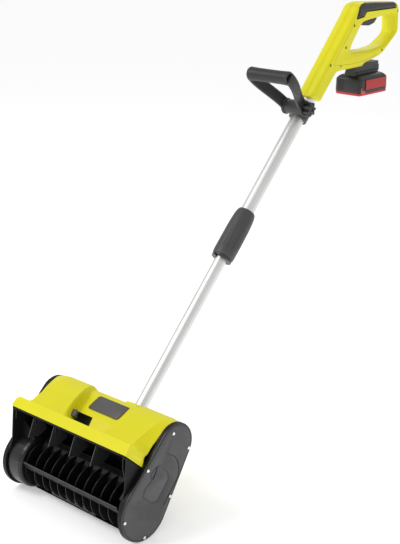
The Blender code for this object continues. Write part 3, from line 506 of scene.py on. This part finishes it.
# ---------------------------------------------------------------- dark baffle under the lever slot
def baffle():
    pts = []
    for s, n in ((-26.0, -22.0), (34.0, -22.0), (34.0, -24.0), (-26.0, -24.0)):
        pts.append((-35.0 + 0.624 * s - 0.781 * n, 177.2 + 0.781 * s + 0.624 * n))
    obj = prism_x("slot_baffle", fillet(pts, 0.6, 2), -92.0, 34.0, MAT["black_plastic"])
    finish_piece(obj, "head", ())
baffle()

# ---------------------------------------------------------------- belt cover: dark rounded rim and a grey face with a pressed pocket
def open_groove(points, width):
    left, right = offset(points, width / 2), offset(points, -width / 2)
    return left + list(reversed(right))

def belt_cover():
    R1, R2 = 64.4, 47.4
    def ring(x, d):
        return [(x, y, z) for y, z in capsule(R1 - d, R2 - d)]
    rim = loops("cover_rim", [ring(x, d) for x, d in ((183.35, 0.0), (184.9, 0.0), (185.9, 0.5), (186.5, 1.5), (186.75, 3.2), (186.75, 5.2), (186.1, 6.0), (183.35, 6.0))],
                MAT["black_plastic"], smooth_angle=60)
    finish_piece(rim, "head", ("right_belt_cover",))
    face = loops("cover_face", [ring(x, d) for x, d in ((183.5, 5.4), (186.2, 5.4), (186.8, 5.8), (187.0, 6.8))],
                 MAT["dark_grey_plastic"], smooth_angle=60)
    pocket = fillet([(-56, 141), (-40, 154), (-22, 153.5), (-3, 128), (-1, 112), (-36, 73), (-54, 77), (-78, 99), (-71, 118), (-52, 128)], 9, 5)
    trough = loops("cut_trough", [[(x, y, z) for y, z in line] for x, line in
                                  ((188.0, grown(pocket, 1.6)), (187.0, grown(pocket, 0.9)), (186.0, grown(pocket, -0.4)), (185.85, grown(pocket, -1.5)))],
                   MAT["black_plastic"], cutter=True)
    island = loops("cut_island", [[(x, y, z) for y, z in line] for x, line in
                                  ((185.0, grown(pocket, -3.4)), (186.2, grown(pocket, -3.6)), (186.75, grown(pocket, -4.4)))],
                   MAT["dark_grey_plastic"], cutter=True)
    hook = curve_line([(-4.9, 170.1), (14.5, 157), (25.5, 139), (27.9, 118), (22, 103), (5.9, 85), (-18.0, 58.5)], set(), 5)
    thin = prism_x("cut_hook", open_groove(hook, 2.6), 185.5, 190, MAT["black_plastic"], cutter=True)
    slot = prism_x("cut_slot", open_groove([(-33.5, 151), (-39, 140), (-47.7, 128.5)], 3.4), 184.4, 190, MAT["black_plastic"], cutter=True)
    carve(face, [trough], angle=50)
    carve(face, [island], "UNION", angle=50)
    holes = [turned("cut_head_%d" % i, [(0, 0), (4.3, 0), (5.0, 4.0), (0, 4.0)], (186.3, y, z), (1, 0, 0), MAT["black_plastic"], seg=24, cutter=True)
             for i, (y, z) in enumerate(COVER_SCREWS[3:5] + COVER_SCREWS[2:3])]
    carve(face, [thin, slot] + holes, angle=50)
    finish_piece(face, "head", ())
COVER_SCREWS = [(13.0, 208.5), (57.0, 160.5), (-61.0, 153.5), (1.0, 72.0), (-127.5, 64.0), (-74.0, 8.5)]
belt_cover()

# ---------------------------------------------------------------- rear handle
def flat(p):
    return (p[1], p[2])
HB0 = [flat(pole(790, 20)), flat(pole(1030, 25)), (826, 980), (838, 987), (856, 990), (990, 982), (1002, 976), (1007, 966),
       (1008, 910), (1000, 900), (948, 862), (928, 854), (868, 842), (859, 835), (754, 834), flat(pole(806, -21))]
HB0_R = [5, 20, 10, 8, 8, 8, 6, 8, 14, 20, 20, 20, 8, 5, 30, 5]
HH0 = [(806, 881), (813, 894), (829, 914), (848, 937), (858, 943), (880, 946), (983, 954.5), (991, 949), (993, 912), (985, 901), (940, 879), (895, 873.5), (812, 875)]
HH0_R = [2, 12, 12, 12, 10, 30, 7, 7, 12, 12, 30, 30, 3]
def HB(d):
    return fillet(grown(HB0, d), HB0_R, 4)
def HH(d):
    return fillet(grown(HH0, d), HH0_R, 4)
HC = [(822, 951), (834, 979), (842, 984.5), (860, 988.5), (984, 981.5), (992, 976), (992, 966.5), (866, 966.5), (856, 955)]
HSCREWS = [(726.0, 853.0), (785.0, 889.0), (766.0, 847.0), (936.0, 868.5), (816.0, 938.0), (998.5, 959.5)]
def handle_shells():
    for name, side in (("right", 1), ("left", -1)):
        prof = ((0.15, 0.35), (0.55, 0.0), (13.0, 0.0), (16.5, -0.6), (19.3, -2.0), (21.4, -4.2), (22.6, -7.0), (23.0, -10.0))
        shell = loops("grip_shell_" + name, [[(side * x, y, z) for y, z in HB(d)] for x, d in prof], MAT["yellow_shell"], smooth_angle=50)
        x0, x1 = sorted((side * -5.0, side * 60.0))
        carve(shell, [prism_x("cut_in", HB(-9.0), *sorted((side * -5.0, side * 19.6)), MAT["black_plastic"], cutter=True)], angle=45)
        carve(shell, [prism_x("join_wall", HH(3.0), *sorted((side * 0.2, side * 22.0)), MAT["black_plastic"], cutter=True)], "UNION", angle=45)
        hole = loops("cut_hole", [[(side * x, y, z) for y, z in HH(d)] for x, d in
                                  ((-5.0, 0.0), (15.0, 0.0), (18.0, 0.7), (20.4, 2.2), (22.0, 4.4), (23.2, 7.4), (30.0, 9.0))],
                     MAT["black_plastic"], cutter=True)
        capcut = prism_x("cut_cap", fillet(grown(HC, 0.4), 3, 3), x0, x1, MAT["black_plastic"], cutter=True)
        tube = turned("cut_tube", [(0, 745), (16.3, 745), (16.3, 880), (0, 880)], pole(0), (0, C, S), MAT["black_plastic"], cutter=True)
        pocket = prism_x("cut_pocket", [(775, 820), (960, 820), (960, 847.5), (775, 847.5)], *sorted((side * -5.0, side * 19.0)), MAT["black_plastic"], cutter=True)
        trig = prism_x("cut_trig", [(862, 926), (936, 926), (936, 957), (862, 957)], *sorted((side * -5.0, side * 8.4)), MAT["black_plastic"], cutter=True)
        line = curve_line([(815.0, 946.0), (803.0, 929.0), (745.5, 865.5), (741.5, 858.0), (747.0, 851.0), (813.5, 847.5), (867.3, 852.0), (917.0, 860.0)], {2, 5}, 4)
        line2 = curve_line([(832.0, 929.0), (806.0, 893.0), (802.0, 876.0), (868.0, 880.0), (905.0, 888.0)], {2}, 4)
        g1 = prism_x("cut_line", open_groove(line, 1.5), *sorted((side * 21.9, side * 30)), MAT["black_plastic"], cutter=True)
        holes = [turned("cut_s", [(0, 20.0), (3.9, 20.0), (3.9, 23.4), (4.6, 24.0), (0, 24.0)] if side > 0 else [(0, -24.0), (4.6, -24.0), (3.9, -23.4), (3.9, -22.6), (0, -22.6)],
                        (0, y, z), (1, 0, 0), MAT["black_plastic"], seg=20, cutter=True) for y, z in HSCREWS]
        carve(shell, [hole, capcut, tube, pocket, trig], angle=45)
        carve(shell, [g1], angle=45)
        if side > 0:
            carve(shell, [turned("cut_b%d" % i, [(0, 15.4), (3.9, 15.4), (3.9, 23.2), (4.5, 24.5), (0, 24.5)], (0, y, z), (1, 0, 0),
                                 MAT["black_plastic"], seg=20, cutter=True) for i, (y, z) in enumerate(HSCREWS)], angle=45)
        for h in holes:
            bpy.data.objects.remove(h, do_unlink=True)
        finish_piece(shell, "upper_pole", ("handle_shell_" + name,))
handle_shells()

def overmould():
    prof = ((-22.6, -6.0), (-22.2, -3.4), (-21.0, -1.6), (-19.0, -0.5), (-16.0, 0.0), (16.0, 0.0), (19.0, -0.5), (21.0, -1.6), (22.2, -3.4), (22.6, -6.0))
    obj = loops("grip_pad", [[(x, y, z) for y, z in fillet(grown(HC, d), [4, 8, 8, 8, 7, 5, 4, 6, 6], 4)] for x, d in prof], MAT["grip_black"], smooth_angle=50)
    bore = turned("cut_bore", [(0, 9.5), (6.3, 9.5), (6.3, 22.0), (7.4, 23.5), (0, 23.5)], (0, 838.0, 965.0), (1, 0, 0), MAT["black_plastic"], cutter=True)
    carve(obj, [bore], angle=45)
    finish_piece(obj, "upper_pole", ("grip_overmould",))
    ring = turned("button_ring", [(6.4, 21.5), (7.6, 21.5), (8.6, 22.3), (8.4, 23.1), (7.2, 23.5), (6.4, 23.0)], (0, 838.0, 965.0), (1, 0, 0), MAT["grip_black"])
    finish_piece(ring, "upper_pole", ())
    for k in range(9):
        y = 884.0 + 10.0 * k
        z = 987.7 - (y - 870.0) * 0.057
        rib = loops("grip_rib_%d" % (k + 1), [[(x, y - 1.5, z - 1.2), (x, y + 1.5, z - 1.2), (x, y + 1.0, z + h), (x, y - 1.0, z + h)] for x, h in ((-16.0, -0.4), (-14.0, 0.6), (14.0, 0.6), (16.0, -0.4))],
                    MAT["grip_black"], smooth_angle=60)
        finish_piece(rib, "upper_pole", ())
overmould()

# ---------------------------------------------------------------- battery
def battery():
    def plan(i, r, z, x0=-38.0, x1=38.0, y0=828.0, y1=945.0):
        return [(x, y, z) for x, y in fillet([(x0 + i, y0 + i), (x1 - i, y0 + i), (x1 - i, y1 - i), (x0 + i, y1 - i)], r, 6)]
    case = loops("pack_case", [plan(i, r, z) for z, i, r in
                               ((773.9, 1.2, 9), (774.6, 0.5, 9), (780.0, 0.0, 9), (803.0, 0.0, 9), (806.5, 0.7, 9), (809.5, 2.6, 9), (813.0, 6.4, 8), (815.0, 9.4, 7), (815.8, 12.0, 6))],
                 MAT["battery_black"], smooth_angle=50)
    neck = loops("join_neck", [plan(0, 3, z, -16.5, 16.5, 836.0, 934.0) for z in (812.0, 843.0)], MAT["battery_black"], cutter=True)
    carve(case, [neck], "UNION", angle=50)
    cuts = [loops("cut_n%d" % k, [plan(0, 1, z, *sorted((s * 13.5, s * 30.0)), 820.0, 940.0) for z in (822.0, 836.0)], MAT["battery_black"], cutter=True)
            for k, s in enumerate((-1, 1))]
    # grooves on the two end faces and a shallow panel on the sides
    for k, x in enumerate((-26.0, -20.0, -14.0)):
        cuts.append(prism_x("cut_g%d" % k, [(826.0, 779.0), (828.9, 779.0), (828.9, 806.0), (826.0, 806.0)], x, x + 2.4, MAT["battery_black"], cutter=True))
    for k, s in enumerate((-1, 1)):
        cuts.append(prism_x("cut_p%d" % k, fillet([(848.5, 779.5), (938.0, 779.5), (938.0, 807.0), (848.5, 807.0)], 2.0, 3), *sorted((s * 37.4, s * 41.0)), MAT["battery_black"], cutter=True))
    carve(case, cuts, angle=50)
    finish_piece(case, "battery", ("battery_case",))
    foot = loops("pack_base", [plan(i, r, z) for z, i, r in
                               ((767.0, 5.0, 6), (767.3, 3.0, 7), (768.3, 1.2, 8), (769.8, 0.2, 9), (772.6, 0.0, 9), (773.6, 0.5, 9))], MAT["battery_red"], smooth_angle=60)
    finish_piece(foot, "battery", ("battery_base",))
    corner = [(828.6, 773.4), (852.0, 773.4), (848.0, 779.0), (838.5, 781.5), (836.5, 786.5), (828.6, 787.5)]
    for k, s in enumerate((-1, 1)):
        secs = []
        for x, d in ((37.0, 0.0), (38.2, 0.0), (38.6, -0.5)):
            secs.append([(s * x, max(y, 833.0), z) for y, z in grown(corner, d)])
        acc = loops("pack_accent_%d" % (k + 1), secs, MAT["battery_red"], smooth_angle=60)
        finish_piece(acc, "battery", ())
battery()

# ---------------------------------------------------------------- loop grip, clamp and knob
HUB = pole(755.0, 26.0)
GRIPBAR = (0.0, 527.5, 849.0)
def loop_grip():
    reach = Vector((0, HUB[1] - GRIPBAR[1], HUB[2] - GRIPBAR[2])).normalized()
    across = Vector((0, -reach.z, reach.y))
    bar = turned("loop_bar", [(8.0, -57.0), (12.6, -57.6), (14.8, -56.6), (15.9, -54.4), (15.7, -50.0), (15.1, -30.0), (15.0, 0.0), (15.1, 30.0), (15.7, 50.0),
                              (15.9, 54.4), (14.8, 56.6), (12.6, 57.6), (10.6, 57.0), (10.5, 36.0), (8.0, 36.0)], GRIPBAR, (1, 0, 0), MAT["loop_black"], seg=64, smooth_angle=50)
    finish_piece(bar, "loop", ("loop_grip_frame",))
    cap = turned("loop_bar_core", [(0, 30.0), (10.4, 30.0), (10.4, 50.0), (9.0, 51.0), (3.0, 51.0), (2.4, 48.0), (0, 48.0)], GRIPBAR, (1, 0, 0), MAT["loop_black"], seg=40)
    finish_piece(cap, "loop", ())
    for s in (-1, 1):
        p0 = Vector((s * 57.0, GRIPBAR[1], GRIPBAR[2]))
        p1 = Vector((s * 60.0, GRIPBAR[1] + 34, GRIPBAR[2] - 30))
        p2 = Vector((s * 25.0, HUB[1] - 34, HUB[2] + 30))
        p3 = Vector((s * 26.6, HUB[1], HUB[2]))
        secs = []
        for k in range(29):
            f = k / 28
            p = p0 * (1 - f) ** 3 + p1 * 3 * f * (1 - f) ** 2 + p2 * 3 * f * f * (1 - f) + p3 * f ** 3
            half, thick = 14.3, 3.1
            shape = [(half, thick * 0.3), (half - 1.2, thick), (half - 4.2, thick), (half - 5.4, thick - 1.0), (-half + 5.4, thick - 1.0), (-half + 4.2, thick),
                     (-half + 1.2, thick), (-half, thick * 0.3), (-half, -thick * 0.3), (-half + 1.2, -thick), (-half + 4.2, -thick), (-half + 5.4, -thick + 1.0),
                     (half - 5.4, -thick + 1.0), (half - 4.2, -thick), (half - 1.2, -thick), (half, -thick * 0.3)]
            secs.append([tuple(p + across * a + Vector((b, 0, 0))) for a, b in shape])
        arm = loops("loop_arm_%s" % ("right" if s > 0 else "left"), secs, MAT["loop_black"], smooth_angle=40)
        finish_piece(arm, "loop", ())
        lo, hi = (23.3, 30.0) if s > 0 else (-30.0, -23.3)
        disc = turned("loop_disc_%s" % ("right" if s > 0 else "left"), [(3.7, lo), (17.6, lo), (19.0, lo + 1.3), (19.0, hi - 1.3), (17.6, hi), (14.0, hi), (13.2, hi - 0.8), (9.0, hi - 0.8), (8.2, hi), (3.7, hi)]
                      if s > 0 else [(3.7, lo), (8.2, lo), (9.0, lo + 0.8), (13.2, lo + 0.8), (14.0, lo), (17.6, lo), (19.0, lo + 1.3), (19.0, hi - 1.3), (17.6, hi), (3.7, hi)],
                      HUB, (1, 0, 0), MAT["loop_black"], seg=56, smooth_angle=40)
        finish_piece(disc, "loop", ())
loop_grip()

def star_knob():
    def star(r, amp):
        out = []
        for k in range(112):
            a = 2 * math.pi * k / 112
            q = r + amp * math.cos(7 * a)
            out.append((HUB[1] + q * math.cos(a), HUB[2] + q * math.sin(a)))
        return out
    secs = [[(x, y, z) for y, z in star(r, amp)] for x, r, amp in
            ((32.0, 11.6, 1.6), (33.0, 13.6, 2.8), (35.0, 14.5, 3.2), (44.5, 14.5, 3.2), (46.6, 13.9, 3.0), (48.0, 12.2, 2.2), (48.9, 9.6, 1.2))]
    obj = loops("knob_star", secs, MAT["grip_black"], smooth_angle=50)
    dish = turned("cut_dish", [(0, 46.6), (4.0, 46.6), (6.4, 49.6), (0, 49.6)], HUB, (1, 0, 0), MAT["black_plastic"], seg=32, cutter=True)
    carve(obj, [dish], angle=40)
    finish_piece(obj, "knob", ("clamp_knob",))
star_knob()

# ---------------------------------------------------------------- lock sleeve with grip flutes
def lock_sleeve():
    prof = [(14.5, 358.0), (24.6, 358.0), (25.4, 358.8), (25.9, 362.0), (26.1, 372.0), (26.0, 400.0), (25.6, 438.0), (25.0, 450.0), (24.2, 462.0), (23.0, 470.0), (21.4, 476.0), (19.6, 479.0),
            (17.4, 480.0), (16.4, 480.0), (16.4, 400.0), (14.5, 396.0)]
    obj = turned("twist_sleeve", prof, pole(0), (0, C, S), MAT["sleeve_grey"], seg=96, smooth_angle=50)
    w = Vector((0, C, S)).normalized()
    u = Vector((1, 0, 0))
    v = w.cross(u)
    cutters = []
    for k in range(14):
        a = 2 * math.pi * k / 14
        d = u * math.cos(a) + v * math.sin(a)
        base_p = Vector(pole(0)) + d * 27.9
        cutters.append(turned("cut_flute_%d" % k, [(0, 374.0), (1.6, 374.6), (2.7, 378.0), (2.7, 432.0), (1.6, 436.4), (0, 437.0)], tuple(base_p), (0, C, S), MAT["sleeve_grey"], seg=14, cutter=True))
    carve(obj, cutters, angle=35)
    finish_piece(obj, "sleeve", ("lock_sleeve",))
lock_sleeve()

# ---------------------------------------------------------------- lip liner in the painted-shade black, painted edge highlights as light grey beads on the vanes and rotor blades, lever knob
def liner():
    # The lip liner is dressed in the painted-shade black as well.
    obj = prism_x("lip_liner", [(-106.9, 192.8), (-105.4, 197.6), (-96.0, 206.5), (-91.5, 206.0), (-97.0, 193.0)], -176.4, 161.0, MAT["painted_shade_black"])
    finish_piece(obj, "head", ())
liner()

def about(points, x, y, deg):
    a = math.radians(deg)
    return [(x + (px - x) * math.cos(a) - (py - y) * math.sin(a), y + (px - x) * math.sin(a) + (py - y) * math.cos(a), pz) for px, py, pz in points]

def edge_highlight_beads():
    # painted highlight: thin light grey beads along the front edges of the vanes and rotor blades stand in for their
    # edge highlights.
    for i, x in enumerate((-131.0, -66.0, -1.0, 64.0)):
        secs = []
        for dy, z in ((-3.2, 174.6), (-6.6, 164.0), (-10.2, 152.6), (-13.6, 141.6), (-16.9, 131.2)):
            ring = [(x + 0.9 * math.cos(2 * math.pi * k / 10), -82.0 + dy - 0.25 + 0.9 * math.sin(2 * math.pi * k / 10), z) for k in range(10)]
            secs.append(about(ring, x, -82.0, -28.0))
        obj = loops("vane_bead_%d" % (i + 1), secs, MAT["painted_highlight_grey"], smooth_angle=60)
        finish_piece(obj, "steer_vane_%d" % (i + 1), ())
    for k, tip in enumerate((159.0, 249.0, 339.0, 69.0)):
        a = math.radians(tip)
        o = (0.0, ROTOR[0] + 55.6 * math.cos(a), ROTOR[1] + 55.6 * math.sin(a))
        obj = turned("blade_highlight_bead_%d" % (k + 1), [(0, -128.4), (0.75, -128.0), (0.75, 159.6), (0, 160.0)], o, (1, 0, 0), MAT["painted_highlight_grey"], seg=12)
        finish_piece(obj, "rotor", ())
edge_highlight_beads()

def lever_knob():
    side = [(-40.5, 184.2), (-29.0, 192.6), (-33.5, 203.4), (-47.5, 195.4)]
    secs = []
    for x, d in ((-11.5, -2.6), (-10.8, -1.0), (-9.4, 0.0), (9.4, 0.0), (10.8, -1.0), (11.5, -2.6)):
        secs.append(about([(-44.0 + x, y, z) for y, z in fillet(grown(side, d), 1.8, 3)], -44.0, -67.87, 28.0))
    obj = loops("lever_thumb_pad", secs, MAT["dark_grey_plastic"], smooth_angle=50)
    finish_piece(obj, "lever", ())
lever_knob()

# ---------------------------------------------------------------- stage
def floor():
    bm = bmesh.new()
    s, n = 40.0, 40
    rows = []
    for i in range(n + 1):
        row = []
        for j in range(n + 1):
            x = -s + 2 * s * j / n
            y = -s + 2 * s * i / n
            row.append(bm.verts.new((x, y, -0.0004)))
        rows.append(row)
    for i in range(n):
        for j in range(n):
            bm.faces.new((rows[i][j], rows[i][j + 1], rows[i + 1][j + 1], rows[i + 1][j]))
    mesh = bpy.data.meshes.new("studio_floor")
    bm.to_mesh(mesh)
    bm.free()
    obj = bpy.data.objects.new("studio_floor", mesh)
    scene.collection.objects.link(obj)
    m, nt, b = base("floor_look")
    b.inputs["Base Color"].default_value = (0.93, 0.93, 0.93, 1)
    b.inputs["Roughness"].default_value = 0.75
    b.inputs["Specular IOR Level"].default_value = 0.2
    b.inputs["Emission Color"].default_value = (1.0, 1.0, 1.0, 1)
    b.inputs["Emission Strength"].default_value = 0.36
    mesh.materials.append(m)
floor()

world = bpy.data.worlds.new("studio")
world.use_nodes = True
world.node_tree.nodes["Background"].inputs["Color"].default_value = (1.0, 1.0, 1.0, 1)
world.node_tree.nodes["Background"].inputs["Strength"].default_value = 0.64
scene.world = world

def area(name, place, target, size, power):
    data = bpy.data.lights.new(name, "AREA")
    data.energy = power
    data.shape = "RECTANGLE"
    data.size, data.size_y = size
    obj = bpy.data.objects.new(name, data)
    obj.location = place
    obj.rotation_euler = (Vector(target) - Vector(place)).to_track_quat("-Z", "Y").to_euler()
    scene.collection.objects.link(obj)
area("key", (-1.3, -1.7, 2.9), (0, 0.3, 0.3), (1.5, 1.5), 46)
area("fill", (2.6, 0.4, 1.6), (0, 0.3, 0.4), (1.6, 1.6), 2.0)
area("back", (-1.0, 2.8, 2.4), (0, 0.4, 0.5), (1.6, 1.6), 9)

cam_data = bpy.data.cameras.new("camera")
cam_data.lens = 78.1
cam_data.sensor_width = 36.0
cam_data.sensor_fit = "AUTO"
cam_data.clip_start = 0.05
cam = bpy.data.objects.new("camera", cam_data)
cam.location = (1.6849, -1.5374 + 0.055, 1.2646)
cam.rotation_euler = (math.radians(71.69), 0.0, math.radians(42.59))
scene.collection.objects.link(cam)
scene.camera = cam

scene.view_settings.view_transform = "Standard"

import json
